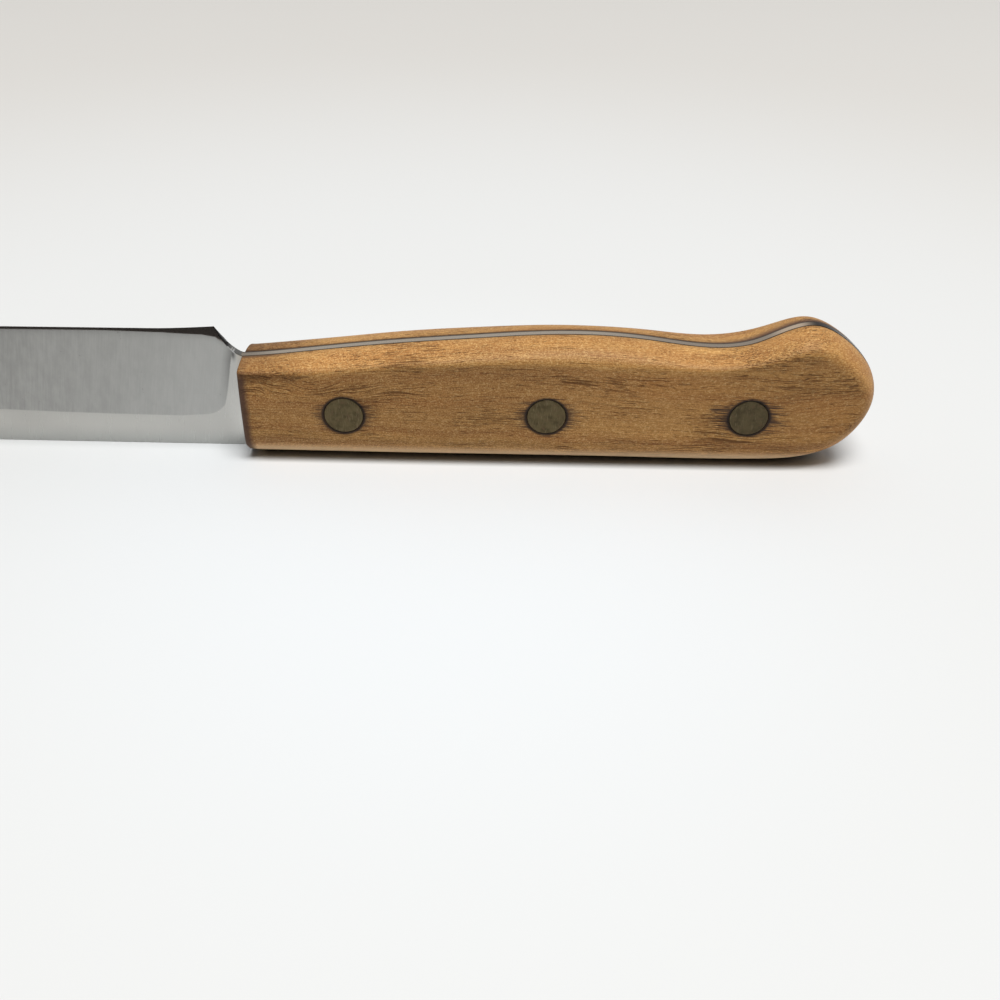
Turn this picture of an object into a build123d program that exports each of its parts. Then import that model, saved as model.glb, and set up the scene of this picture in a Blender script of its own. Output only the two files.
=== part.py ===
# Carving knife: one piece of steel for blade and full tang, two wooden scales, three cutler's rivets.
# The knife stands on its straight back with the cutting edge up, as it is shown.
# +X runs from the blade to the butt, +Y is the knife's left side, +Z goes from the back to the edge.
# The origin lies on the flat back of the handle, in the middle plane, under the middle rivet.
# Lengths are in millimetres.
from build123d import *
from math import asin, cos, degrees, radians, sin
import os

# Handle
handle_length = 130.0
handle_thickness = 15.6
hook_height = 31.0
front_corner_radius = 1.0
edge_round = 4.0
back_flat_depth = 0.3

# Rounded foot of the front end, where the front meets the back
foot_length = 3.0
foot_rise = 1.2
foot_tangent_share = 0.6

# Steel
stock_thickness = 1.7
blade_length = 254.0
blade_height = 27.0
edge_fall = 1.5
tip_height = 7.0
tip_stock_thickness = 1.0
thickness_behind_edge = 0.3
edge_land = 0.06
grind_height = 7.2
point_height = 0.8

# Sharpening bevel and heel
bevel_height = 0.5
heel_bevel_height = 2.2
heel_rise = 0.6
heel_setback = 5.2
heel_wear_length = 12.0

# Where the grind ends
plunge_setback = 1.8
plunge_lean = 4.2
plunge_radius = 3.5

# Choil, the hollow between heel and handle
choil_hollow = 0.8

# Tip outline
edge_sweep_length = 85.0
back_sweep_length = 50.0

# Cutler's rivets: a post with a head is driven into a socket with a head
front_rivet_setback = 20.8
rear_rivet_setback = 26.4
rivet_height = 12.5
rivet_rise_per_pitch = 0.6
rivet_head_diameter = 7.9
rivet_head_thickness = 1.6
rivet_socket_diameter = 4.8
rivet_post_diameter = 3.2
rivet_end_gap = 2.0
rivet_post_length = 10.0
rivet_bottom_gap = 1.0
head_clearance = 0.1
shank_clearance = 0.1
post_clearance = 0.01

# Every cut runs past the solid that it cuts by this much
overrun = 2.0

# The contour of the handle seen from the side, from the top of the front end over belly, dip, hook
# and butt to the start of the straight back. Each row: share of the handle's length, share of the
# hook's height, and how deep the edge is rounded there as a share of edge_round.
contour_shares = [
    (0.000, 0.695, 0.45),
    (0.121, 0.753, 0.60),
    (0.248, 0.816, 0.62),
    (0.371, 0.863, 0.72),
    (0.480, 0.897, 0.92),
    (0.560, 0.899, 1.00),
    (0.640, 0.871, 0.78),
    (0.740, 0.828, 0.48),
    (0.800, 0.864, 0.45),
    (0.848, 0.958, 0.80),
    (0.888, 1.000, 1.00),
    (0.930, 0.935, 1.00),
    (0.968, 0.808, 1.00),
    (0.993, 0.668, 1.00),
    (1.000, 0.525, 1.00),
    (0.990, 0.345, 1.15),
    (0.962, 0.165, 1.50),
    (0.912, 0.048, 1.82),
    (0.830, 0.000, 2.08),
]
front_rise_share = 0.07
# Along the back, from its rear end to the front: share of the handle's length, share of edge_round
back_shares = [(0.620, 1.94), (0.220, 1.94), (0.000, 2.08)]
# How far round the edge each outline of a scale lies, in shares of a quarter turn from tang to side
level_shares = [0.28, 0.50, 0.69, 0.86, 1.00]
# Stations along the swept part of the blade, from its start to the point
sweep_shares = [0.0, 0.2, 0.4, 0.6, 0.8, 0.93, 1.0]

half_handle = handle_thickness / 2
half_stock = stock_thickness / 2
rivet_pitch = (handle_length - front_rivet_setback - rear_rivet_setback) / 2
handle_front = -front_rivet_setback - rivet_pitch
tip_x = handle_front - blade_length
heel_x = handle_front - heel_setback
plunge_x = handle_front - plunge_setback
wear_x = heel_x - heel_wear_length
sweep_start_x = tip_x + edge_sweep_length
rivet_places = [
    ("front", -rivet_pitch, rivet_height - rivet_rise_per_pitch),
    ("middle", 0, rivet_height),
    ("rear", rivet_pitch, rivet_height + rivet_rise_per_pitch),
]


def contour_point(index):
    """Point of the side contour at the middle plane, as x and z."""
    along, up, _ = contour_shares[index]
    full_height = hook_height + back_flat_depth
    return Vector(handle_front + along * handle_length, 0, up * full_height - back_flat_depth)


def contour_normal(index):
    """Outward direction there: square to the line between the two neighbouring points."""
    last = len(contour_shares) - 1
    chord = contour_point(min(index + 1, last)) - contour_point(max(index - 1, 0))
    if index == last:
        return Vector(0, 0, -1)
    return Vector(-chord.Z, 0, chord.X).normalized()


def handle_outline(turn, corner_inset):
    """Face of the handle's side view, moved in by the edge's rounding after this many degrees of turn."""
    y = -half_handle * sin(radians(turn))
    inward = edge_round * (1 - cos(radians(turn)))
    points = []
    for index, (_, _, depth_share) in enumerate(contour_shares):
        inset = contour_normal(index) * (inward * depth_share)
        points.append(contour_point(index) - inset + Vector(0, y, 0))
    points[0] = points[0] + Vector(corner_inset, 0, 0)
    back_points = [points[-1]]
    for along, depth_share in back_shares:
        x = handle_front + along * handle_length
        back_points.append(Vector(x, y, inward * depth_share - back_flat_depth))
    back_points[-1].X = handle_front + foot_length
    top = Spline(*points, tangents=[(1, 0, front_rise_share), (-1, 0, 0)])
    back = Spline(*back_points, tangents=[(-1, 0, 0), (-1, 0, 0)])
    foot_end = Vector(points[0].X, y, back_points[-1].Z + foot_rise)
    along_back = Vector(foot_tangent_share * (back_points[-1].X - foot_end.X), 0, 0)
    up_front = Vector(0, 0, foot_tangent_share * foot_rise)
    foot = Bezier(back_points[-1], back_points[-1] - along_back, foot_end - up_front, foot_end)
    return make_face([top, back, foot, Line(foot_end, points[0])])


def front_inset(turn):
    """How far the rounded corner of the front end lies behind the front plane, at this turn."""
    into_corner = half_handle * sin(radians(turn)) - (half_handle - front_corner_radius)
    if into_corner <= 0:
        return 0
    return front_corner_radius - (front_corner_radius**2 - into_corner**2) ** 0.5


def below_back():
    """Everything under the flat back on which the knife stands."""
    length = handle_length + 2 * overrun
    block = Box(length, handle_thickness, hook_height)
    return Pos(handle_front - overrun + length / 2, 0, -hook_height / 2) * block


def along_y(x, z, radius, y_from, y_to):
    """Cylinder along Y."""
    cylinder = Cylinder(radius, y_to - y_from, align=(Align.CENTER, Align.CENTER, Align.MIN))
    return Pos(x, y_from, z) * Rot(-90, 0, 0) * cylinder


def right_scale():
    """Wooden scale on the near side: a flat side, all its outer edges rounded over, and rivet bores."""
    first_turn = degrees(asin(half_stock / half_handle))
    turns = [first_turn] + [90 * share for share in level_shares]
    scale = loft([handle_outline(turn, front_inset(turn)) for turn in turns])
    scale = scale - below_back()
    for _, x, z in rivet_places:
        bore_radius = rivet_socket_diameter / 2 + shank_clearance
        scale = scale - along_y(x, z, bore_radius, -half_handle - overrun, 0)
        head_radius = rivet_head_diameter / 2 + head_clearance
        seat = -half_handle + rivet_head_thickness
        scale = scale - along_y(x, z, head_radius, -half_handle - overrun, seat)
    return scale


def left_scale():
    """The same scale on the other side."""
    return mirror(right_scale(), about=Plane.XZ)


def edge_height(x):
    """Height of the cutting edge: a straight fall from the heel, then a sweep down to the point."""
    fall = edge_fall * (handle_front - x) / (blade_length - edge_sweep_length)
    if x >= sweep_start_x:
        return blade_height - fall
    into_sweep = (sweep_start_x - x) / edge_sweep_length
    start = blade_height - edge_fall
    return start - (start - tip_height - point_height) * into_sweep**2


def back_height(x):
    """Height of the back: straight at zero, then a slow rise to the point."""
    into_sweep = max(0, (tip_x + back_sweep_length - x) / back_sweep_length)
    return tip_height * into_sweep**2


def blade_section(x, edge, bevel):
    """Cross-section: parallel at the back, ground from the grind line to the bevel, then the bevel."""
    toward_tip = max(0, (wear_x - x) / (wear_x - tip_x))
    half_back = (stock_thickness + (tip_stock_thickness - stock_thickness) * toward_tip) / 2
    half_edge = thickness_behind_edge / 2
    half_land = edge_land / 2
    back = back_height(x)
    grind = back + grind_height * min(1, (edge - back) / (blade_height - edge_fall))
    half = [(half_back, back), (half_back, grind), (half_edge, edge - bevel), (half_land, edge)]
    points = [(x, y, z) for y, z in half] + [(x, -y, z) for y, z in reversed(half)]
    return make_face(Polyline(*points, close=True))


def bevel_at(x):
    """Bevel height: even along the blade, and lower on the point as the blade gets lower there."""
    return bevel_height * min(1, (edge_height(x) - back_height(x)) / (2 * bevel_height))


def ground_blade():
    """The ground part of the blade, from the plunge to the point."""
    heel_edge = edge_height(heel_x) + heel_rise
    straight = [
        blade_section(plunge_x, heel_edge, heel_bevel_height),
        blade_section(heel_x, heel_edge, heel_bevel_height),
        blade_section(wear_x, edge_height(wear_x), bevel_height),
        blade_section(sweep_start_x, edge_height(sweep_start_x), bevel_height),
    ]
    stations = [sweep_start_x - share * edge_sweep_length for share in sweep_shares]
    swept = [blade_section(x, edge_height(x), bevel_at(x)) for x in stations]
    return loft(straight, ruled=True) + loft(swept)


def ricasso():
    """The unground block between the grind and the handle; the grind runs out against its rounded corner."""
    corner = FilletPolyline(
        (wear_x, 0, grind_height),
        (plunge_x - plunge_lean, 0, grind_height),
        (plunge_x, 0, blade_height - heel_bevel_height),
        radius=plunge_radius,
    )
    start = corner @ 0
    end = corner @ 1
    right = handle_front + foot_length
    rest = Polyline(
        end,
        (right, 0, end.Z),
        (right, 0, 0),
        (start.X, 0, 0),
        start,
    )
    return extrude(make_face([corner, rest]), half_stock, dir=(0, 1, 0), both=True)


def tang():
    """Full tang: the handle's whole side contour in sheet steel."""
    plate = extrude(handle_outline(0, 0), half_stock, dir=(0, 1, 0), both=True)
    return plate - below_back()


def choil_cut():
    """What the hollow between the heel and the front of the handle takes away."""
    heel = Vector(heel_x, 0, edge_height(heel_x) + heel_rise)
    front = contour_point(0)
    chord = front - heel
    inward = Vector(chord.Z, 0, -chord.X).normalized()
    middle = (heel + front) / 2 + inward * choil_hollow
    top = heel.Z + overrun
    hollow = ThreePointArc(heel, middle, front)
    rest = Polyline(
        front,
        (handle_front + foot_length, 0, front.Z),
        (handle_front + foot_length, 0, top),
        (heel_x, 0, top),
        heel,
    )
    return extrude(make_face([hollow, rest]), stock_thickness, dir=(0, 1, 0), both=True)


def blade_with_tang():
    """Blade, ricasso and tang in one piece, with the rivet holes."""
    steel = ground_blade() + ricasso() - choil_cut() + tang()
    for _, x, z in rivet_places:
        hole_radius = rivet_socket_diameter / 2 + shank_clearance
        steel = steel - along_y(x, z, hole_radius, -stock_thickness, stock_thickness)
    return steel


def rivet_post(x, z):
    """Male half: a flush head on the right side and the post that is driven into the socket."""
    head_inner = -half_handle + rivet_head_thickness
    head = along_y(x, z, rivet_head_diameter / 2, -half_handle, head_inner)
    post = along_y(x, z, rivet_post_diameter / 2, head_inner, head_inner + rivet_post_length)
    return head + post


def rivet_socket(x, z):
    """Female half: a flush head on the left side and a hollow shank that takes the post."""
    head_inner = half_handle - rivet_head_thickness
    shank_end = -head_inner + rivet_end_gap
    head = along_y(x, z, rivet_head_diameter / 2, head_inner, half_handle)
    shank = along_y(x, z, rivet_socket_diameter / 2, shank_end, head_inner)
    bore_end = -head_inner + rivet_post_length + rivet_bottom_gap
    bore_radius = rivet_post_diameter / 2 + post_clearance
    return head + shank - along_y(x, z, bore_radius, shank_end - overrun, bore_end)


def main():
    """Write one file for each piece."""
    os.makedirs("parts", exist_ok=True)
    pieces = {
        "blade_with_tang": blade_with_tang(),
        "right_scale": right_scale(),
        "left_scale": left_scale(),
    }
    for place, x, z in rivet_places:
        pieces[f"{place}_rivet_post"] = rivet_post(x, z)
        pieces[f"{place}_rivet_socket"] = rivet_socket(x, z)
    for name, solid in pieces.items():
        export_step(solid, f"parts/{name}.step")


main()
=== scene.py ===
# %% [markdown]
# # A carving knife on a white table
# The knife stands on its straight back with the cutting edge up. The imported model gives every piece
# its place and size. This file gives each piece the surface that the eye sees: a satin ground blade,
# two oiled wooden scales that were rounded over by hand, and tarnished rivets flush with the wood.
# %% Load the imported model
from math import pi, radians

import bmesh
import bpy
import numpy as np
from mathutils import Matrix, Vector


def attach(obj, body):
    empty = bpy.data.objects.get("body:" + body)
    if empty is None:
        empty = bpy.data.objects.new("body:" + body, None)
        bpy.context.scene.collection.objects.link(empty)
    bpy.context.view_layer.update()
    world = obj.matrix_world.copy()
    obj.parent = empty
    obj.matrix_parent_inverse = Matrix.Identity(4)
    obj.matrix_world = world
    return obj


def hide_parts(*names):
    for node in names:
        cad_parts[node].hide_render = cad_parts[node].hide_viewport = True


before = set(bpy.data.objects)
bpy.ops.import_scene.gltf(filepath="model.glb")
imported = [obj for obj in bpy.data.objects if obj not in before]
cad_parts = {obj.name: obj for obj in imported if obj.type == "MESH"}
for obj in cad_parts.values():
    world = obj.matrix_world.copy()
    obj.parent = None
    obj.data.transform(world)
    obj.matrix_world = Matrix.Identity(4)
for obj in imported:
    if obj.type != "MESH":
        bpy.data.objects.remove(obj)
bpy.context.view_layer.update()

MM = 0.001

# %% [markdown]
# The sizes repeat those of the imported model, in millimetres. The handle's side contour is a smooth
# curve over belly, dip, hook and butt. Each row gives a share of the handle's length, a share of its
# height, and how deep the edge is rounded over there.
# %% Sizes
HANDLE_LENGTH = 130.0
HANDLE_FRONT = -62.2
HALF_HANDLE = 7.8
HOOK_HEIGHT = 31.0
BACK_FLAT_DEPTH = 0.3
EDGE_ROUND = 4.0
HALF_STOCK = 0.85
RIVETS = {"front": (-41.4, 11.9), "middle": (0.0, 12.5), "rear": (41.4, 13.1)}
HEAD_RADIUS = 3.95
CONTOUR_ROWS = [
    (0.000, 0.695, 0.45), (0.121, 0.753, 0.60), (0.248, 0.816, 0.62), (0.371, 0.863, 0.72),
    (0.480, 0.897, 0.92), (0.560, 0.899, 1.00), (0.640, 0.871, 0.78), (0.740, 0.828, 0.48),
    (0.800, 0.864, 0.45), (0.848, 0.958, 0.80), (0.888, 1.000, 1.00), (0.930, 0.935, 1.00),
    (0.968, 0.808, 1.00), (0.993, 0.668, 1.00), (1.000, 0.525, 1.00), (0.990, 0.345, 1.15),
    (0.962, 0.165, 1.50), (0.912, 0.048, 1.82), (0.830, 0.000, 2.08), (0.620, 0.000, 1.94),
    (0.220, 0.000, 1.94), (0.000, 0.000, 2.08),
]
BUTT_ROW = 14
BACK_ROW = 18

# %% [markdown]
# A flexible batten bent through a few nails gives a fair curve, and a cubic spline does the same in
# numbers. It is worked out here for whole arrays of places at once.
# %% Fair curves
def spline(places, start, end):
    """Cubic curve through rows of numbers: its knots and its tangents.

    Each inner tangent balances its neighbours so that two cubics meet with the same curvature.
    """
    steps = np.hypot(*np.diff(places[:, :2], axis=0).T)
    knots = np.concatenate([[0], np.cumsum(steps)])
    rises = np.diff(places, axis=0) / steps[:, None]
    count = len(places)
    matrix = np.eye(count)
    inner = np.arange(1, count - 1)
    matrix[inner, inner - 1] = steps[1:]
    matrix[inner, inner] = 2 * (steps[1:] + steps[:-1])
    matrix[inner, inner + 1] = steps[:-1]
    right = np.zeros_like(places)
    right[0] = start
    right[-1] = end
    right[1:-1] = 3 * (steps[1:, None] * rises[:-1] + steps[:-1, None] * rises[1:])
    return knots, places, np.linalg.solve(matrix, right)


def along(curve, at):
    """Rows of the curve at distances along its chords."""
    knots, places, tangents = curve
    index = np.clip(np.searchsorted(knots, at, side="right") - 1, 0, len(knots) - 2)
    step = (knots[index + 1] - knots[index])[:, None]
    share = (at - knots[index])[:, None] / step
    first = (1 + 2 * share) * (1 - share) ** 2 * places[index]
    first = first + share * (1 - share) ** 2 * step * tangents[index]
    second = share**2 * (3 - 2 * share) * places[index + 1]
    return first + second + share**2 * (share - 1) * step * tangents[index + 1]

# %% [markdown]
# Both the contour and the depth of the rounding run through one spline, so they stay in step. The
# depth is a vector that is square to the contour and points out of the wood.
# %% The handle's contour
rows = np.array(CONTOUR_ROWS)
outline = np.stack([
    HANDLE_FRONT + rows[:, 0] * HANDLE_LENGTH,
    rows[:, 1] * (HOOK_HEIGHT + BACK_FLAT_DEPTH) - BACK_FLAT_DEPTH,
], axis=1)
numbers = np.arange(len(rows))
chords = outline[np.minimum(numbers + 1, numbers[-1])] - outline[np.maximum(numbers - 1, 0)]
chords[BACK_ROW] = (-1, 0)
normals = np.stack([-chords[:, 1], chords[:, 0]], axis=1)
normals = normals / np.linalg.norm(normals, axis=1)[:, None]
depths = normals * (EDGE_ROUND * rows[:, 2])[:, None]
CONTOUR = spline(np.hstack([outline, depths]), (1, 0.07, 0, 0), (-1, 0, 0, 0))
BUTT_AT = CONTOUR[0][BUTT_ROW]
CONTOUR_END = CONTOUR[0][-1]
print("length of the contour in mm:", round(float(CONTOUR_END), 1))


def handle_lines(shares):
    """Top and bottom line of the handle for shares of the way from its front to its butt.

    Each row is x, z and a vector that points out of the wood and is as long as the edge is rounded
    deep there. The two lines meet at the butt.
    """
    top = along(CONTOUR, shares * BUTT_AT)
    bottom = along(CONTOUR, CONTOUR_END - shares * (CONTOUR_END - BUTT_AT))
    return top, bottom

# %% [markdown]
# Every piece is a skin of four-sided faces between the points of a grid. A tube of such faces is
# closed around its rows, and blocks of faces can be left out where a rivet goes through.
# %% Faces of a grid
def grid_faces(row_count, column_count, closed_rows=False, left_out=()):
    """Corner numbers of the faces of a grid whose points are numbered row by row."""
    row_steps = row_count if closed_rows else row_count - 1
    row, column = np.meshgrid(np.arange(row_steps), np.arange(column_count - 1), indexing="ij")
    keep = np.ones(row.shape, dtype=bool)
    for row_range, column_range in left_out:
        keep[slice(*row_range), slice(*column_range)] = False
    row, column = row[keep], column[keep]
    below = (row + 1) % row_count
    corners = [row * column_count + column, row * column_count + column + 1,
               below * column_count + column + 1, below * column_count + column]
    return np.stack(corners, axis=1)

# %% [markdown]
# At a rivet a ring of faces leads from the square border of one block through the round bore to the
# border of the block on the other side. Sorting both borders by their angle around the rivet pairs
# each of their points with a point of the circles between them.
# %% Bores
def block_border(points, row_range, column_range):
    """Points around the border of a block of the grid."""
    first_row, last_row = row_range
    first, last = column_range
    sides = [points[first_row, first:last], points[first_row:last_row, last],
             points[last_row, last:first:-1], points[last_row:first_row:-1, first]]
    return np.concatenate(sides)


def by_angle(points, centre):
    """The same points in the order of their angle around the rivet."""
    return points[np.argsort(np.arctan2(points[:, 2] - centre[1], points[:, 0] - centre[0]))]


def bore_sheet(outer, inner, centre, profile):
    """Ring of faces from one border through circles of the profile to the other border."""
    outer, inner = by_angle(outer, centre), by_angle(inner, centre)
    count = len(outer)
    angle = -pi + 2 * pi * (np.arange(count) + 0.5) / count
    circles = [np.stack([centre[0] + radius * np.cos(angle), np.full(count, y),
                         centre[1] + radius * np.sin(angle)], axis=1) for radius, y in profile]
    rings = np.stack([outer] + circles + [inner])
    rings = np.concatenate([rings, rings[:, :1]], axis=1)
    return rings.reshape(-1, 3), grid_faces(len(rings), count + 1)

# %% [markdown]
# The sheets of one piece meet in seams with doubled points. Merging those makes the piece one closed
# skin, and its normals are turned outwards. Smooth shading stops at the edges sharper than an angle.
# %% Finished mesh
SEAM_GAP = 0.002
SHORTEST_EDGE = 0.0005


def make_piece(name, sheets, caps=(), sharp=35):
    """One closed mesh object from sheets in millimetres: seams merged, normals outward, shaded smooth."""
    offset = 0
    points, faces = [], []
    for sheet_points, sheet_faces in sheets:
        points.append(sheet_points)
        faces.extend((sheet_faces + offset).tolist())
        offset += len(sheet_points)
    faces.extend([list(map(int, cap)) for cap in caps])
    mesh = bpy.data.meshes.new(name)
    mesh.from_pydata((np.concatenate(points) * MM).tolist(), [], faces)
    work = bmesh.new()
    work.from_mesh(mesh)
    bmesh.ops.remove_doubles(work, verts=work.verts, dist=SEAM_GAP * MM)
    bmesh.ops.dissolve_degenerate(work, edges=work.edges, dist=SHORTEST_EDGE * MM)
    bmesh.ops.recalc_face_normals(work, faces=work.faces)
    open_edges = sum(not edge.is_manifold for edge in work.edges)
    volume = work.calc_volume()
    if volume < 0:
        bmesh.ops.reverse_faces(work, faces=work.faces)
    work.to_mesh(mesh)
    work.free()
    mesh.shade_smooth()
    mesh.set_sharp_from_angle(angle=radians(sharp))
    piece = bpy.data.objects.new(name, mesh)
    bpy.context.scene.collection.objects.link(piece)
    print(name, "faces:", len(mesh.polygons), "open edges:", open_edges,
          "volume in cm3:", round(abs(volume) * 1e6, 2))
    return piece

# %% [markdown]
# The blade is flat sheet steel. A grinder took it down from the grind line to the edge, and where the
# wheel stopped near the handle it left a rounded shoulder. Sharpening added a narrow bevel, worn
# wider at the heel. The lines of the side view come first, each a formula in x.
# %% Lines of the blade
BLADE_TIP = -316.2
HEEL = -67.4
EDGE_HEIGHT = 27.0
EDGE_FALL = 1.5
TIP_HEIGHT = 7.0
POINT_HEIGHT = 0.8
EDGE_SWEEP = 85.0
BACK_SWEEP = 50.0
HEEL_RISE = 0.58
WORN_LENGTH = 12.0


def edge_line(x):
    """Height of the cutting edge: a slow fall from the heel, then a sweep to the point."""
    start = BLADE_TIP + EDGE_SWEEP
    fall = EDGE_FALL * (HANDLE_FRONT - x) / (HANDLE_FRONT - start)
    sweep = np.clip((start - x) / EDGE_SWEEP, 0, 1)
    straight = EDGE_HEIGHT - np.minimum(fall, EDGE_FALL)
    drop = (EDGE_HEIGHT - EDGE_FALL - TIP_HEIGHT - POINT_HEIGHT) * sweep**2
    worn = HEEL_RISE * np.clip((x - HEEL + WORN_LENGTH) / WORN_LENGTH, 0, 1) ** 1.5
    return straight - drop + worn


def back_line(x):
    """Height of the back: straight, then a slow rise to the point."""
    return TIP_HEIGHT * np.clip((BLADE_TIP + BACK_SWEEP - x) / BACK_SWEEP, 0, 1) ** 2


def bevel_width(x):
    """Height of the sharpening bevel: even along the blade and wider at the heel."""
    width = np.interp(x, [-120, -90, -78, -74, -70, HEEL, -66.1], [0.5, 0.5, 0.8, 1.15, 1.5, 2.1, 2.9])
    return width * np.clip((edge_line(x) - back_line(x)) / 2, 0.2, 1)


def grind_line(x):
    """Height where the flat ends and the grind starts."""
    start = np.interp(x, [-140, -114, -102, -90, -77, -70, -66], [7.7, 7.6, 7.25, 7.05, 6.95, 7.5, 7.6])
    room = np.clip((edge_line(x) - back_line(x)) / (EDGE_HEIGHT - EDGE_FALL), 0, 1)
    return back_line(x) + start * room


print("edge height at the heel in mm:", round(float(edge_line(HEEL)), 2))

# %% [markdown]
# The thickness is worked out for every point of the side view: the thinnest of the rolled sheet, the
# ground plane and the bevel's plane is what the grinder and the stone have left.
# %% Blade thickness
TIP_HALF_STOCK = 0.5
TAPER_END = HEEL - 12
POINT_LENGTH = 14.0
HALF_LAND = 0.03
BEVEL_SLOPE = 0.24
GRIND_CORNER = 3.0
SHOULDER = 1.6
LEAN_HEIGHTS = [7.2, 9.7, 13.4, 17.0, 20.4, 24.0]
LEAN_PLACES = [-68.2, -67.2, -66.2, -65.45, -64.75, -63.8]


def inside_grind(x, z):
    """Distance from the grind's outline into the ground part.

    The outline is the grind line, a leaning line near the handle and a rounded corner between them.
    Also how far x lies from the leaning line.
    """
    lean = np.interp(z, LEAN_HEIGHTS, LEAN_PLACES)
    from_lean = lean - x
    from_grind = z - grind_line(x)
    near = (from_lean < GRIND_CORNER) & (from_grind < GRIND_CORNER)
    around = GRIND_CORNER - np.hypot(GRIND_CORNER - from_lean, GRIND_CORNER - from_grind)
    return np.where(near, around, np.minimum(from_lean, from_grind)), from_lean


def half_thickness(x, z):
    """Half the steel's thickness at points of the side view.

    The least of the rolled sheet, the grind's plane and the bevel's plane. Near the handle the grind
    ends in a hollow shoulder that rises back to the sheet's surface.
    """
    sheet = np.interp(x, [BLADE_TIP, TAPER_END], [TIP_HALF_STOCK, HALF_STOCK])
    sheet = sheet * np.clip((x - BLADE_TIP + 0.6) / POINT_LENGTH, 0.1, 1) ** 0.6
    edge, bevel = edge_line(x), bevel_width(x)
    behind = np.minimum(HALF_LAND + BEVEL_SLOPE * bevel, 0.8 * sheet)
    slope = (sheet - behind) / np.maximum(edge - bevel - grind_line(x), 0.1)
    ground = np.minimum(behind + slope * (edge - bevel - z), sheet)
    inside, from_lean = inside_grind(x, z)
    upright = np.clip(1 - from_lean / GRIND_CORNER, 0, 1) ** 0.5
    hollow = np.clip(1 - inside / SHOULDER, 0, 1) ** 2 * upright
    ground = np.where(inside < 0, sheet, ground + (sheet - ground) * hollow)
    beveled = HALF_LAND + BEVEL_SLOPE * (edge - z)
    return np.minimum(np.minimum(sheet, ground), np.maximum(beveled, HALF_LAND))

# %% [markdown]
# The skin of the steel runs in columns from the point over the heel and along the tang to the butt.
# The columns crowd together near the handle, where the shoulder and the choil turn sharply. The
# tang's edge follows the wood's contour, so it shows as a thin strip all along the handle.
# %% Columns of the steel
CHOIL_DEPTH = 1.16


def choil_line(x):
    """Height of the hollow between heel and handle: a shallow arc, worked out as a parabola."""
    start = np.array([HEEL, edge_line(np.array([HEEL]))[0]])
    end = np.array([HANDLE_FRONT, CONTOUR[1][0, 1]])
    share = (x - start[0]) / (end[0] - start[0])
    chord = start[1] + (end[1] - start[1]) * share
    return chord - 4 * CHOIL_DEPTH * share * (1 - share)


def steel_columns():
    """Bottom and top point of every column, as x and z."""
    blade = np.concatenate([
        BLADE_TIP + np.array([0, 0.3, 0.8, 1.6, 2.8, 4.4]),
        np.linspace(BLADE_TIP + 6, -82, 150),
        np.linspace(-81.5, -70.5, 23),
        np.linspace(-70, HEEL, 14),
        np.linspace(HEEL + 0.08, HANDLE_FRONT, 40),
    ])
    top = np.where(blade <= HEEL, edge_line(blade), choil_line(blade))
    tang_top, tang_bottom = handle_lines(np.linspace(0, 1, 170)[1:])
    bottoms = np.concatenate([np.stack([blade, back_line(blade)], axis=1), tang_bottom[:, :2]])
    tops = np.concatenate([np.stack([blade, top], axis=1), tang_top[:, :2]])
    bottoms[:, 1] = np.maximum(bottoms[:, 1], 0)
    return len(blade), bottoms, tops


blade_count, bottoms, tops = steel_columns()
print("columns of the steel:", len(tops), "of which the blade has", blade_count)

# %% [markdown]
# All columns have the same number of rows. The rows lie close together at the back, on both sides of
# the grind line and in the bevel, where the surface bends, so that those creases stay crisp.
# %% Rows of the steel
EASE = 0.12


def steel_rows(x, bottom, top):
    """Heights of the rows in one set of columns: close at the back, the grind line and the bevel."""
    height = top - bottom
    grind = np.minimum(grind_line(x) - bottom, 0.6 * height)
    bevel = np.minimum(bevel_width(x), 0.3 * height)
    ease = np.minimum(EASE, 0.1 * height)
    marks = [0 * x, 0.4 * ease, ease, 2 * ease]
    marks += [2 * ease + (grind - 2.5 * ease) * share for share in np.linspace(0, 1, 9)[1:-1]]
    marks += [grind - 0.4 * ease, grind + 0.4 * ease]
    low, high = grind + 0.4 * ease, height - bevel - 0.4 * ease
    marks += [low + (high - low) * share for share in np.linspace(0, 1, 76)[1:]]
    room = np.maximum(bevel - 1.2 * ease, 0.1 * ease)
    marks += [height - 0.8 * ease - room * share for share in np.linspace(1, 0, 9)]
    marks += [height - 0.3 * ease, height]
    return np.array(marks)


blade_rows = steel_rows(bottoms[:blade_count, 0], bottoms[:blade_count, 1], tops[:blade_count, 1])
row_shares = blade_rows / (tops[:blade_count, 1] - bottoms[:blade_count, 1])
tang_shares = np.repeat(row_shares[:, -1:], len(tops) - blade_count, axis=1)
row_shares = np.concatenate([row_shares, tang_shares], axis=1)
steel_x = bottoms[:, 0] + row_shares * (tops - bottoms)[:, 0]
steel_z = bottoms[:, 1] + row_shares * (tops - bottoms)[:, 1]
print("rows on each face of the steel:", len(row_shares))

# %% [markdown]
# Each point of the side view gives one point on the right face and one on the left. Along the edges
# of the sheet a narrow band is a little thinner, because a file has taken the sharp arris off.
# %% Skin of the steel
ARRIS = 0.06
thick = half_thickness(steel_x, steel_z)
thick[:, blade_count:] = HALF_STOCK
from_border = np.minimum(steel_z - bottoms[:, 1], np.where(bottoms[:, 0] > HEEL, tops[:, 1] - steel_z, 9))
thick = thick - ARRIS * np.clip(1 - from_border / EASE, 0, 1) ** 2
thick[:, -1] = 0.7 * thick[:, -1]
right_face = np.stack([steel_x, -thick, steel_z], axis=2)
left_face = np.stack([steel_x, thick, steel_z], axis=2)[::-1]
steel_skin = np.concatenate([right_face, left_face])
steel_row_count, steel_column_count = steel_skin.shape[:2]
face_rows = len(right_face)
print("thickness of the steel in mm:", (2 * thick.min()).round(2), "to", (2 * thick.max()).round(2))

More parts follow.
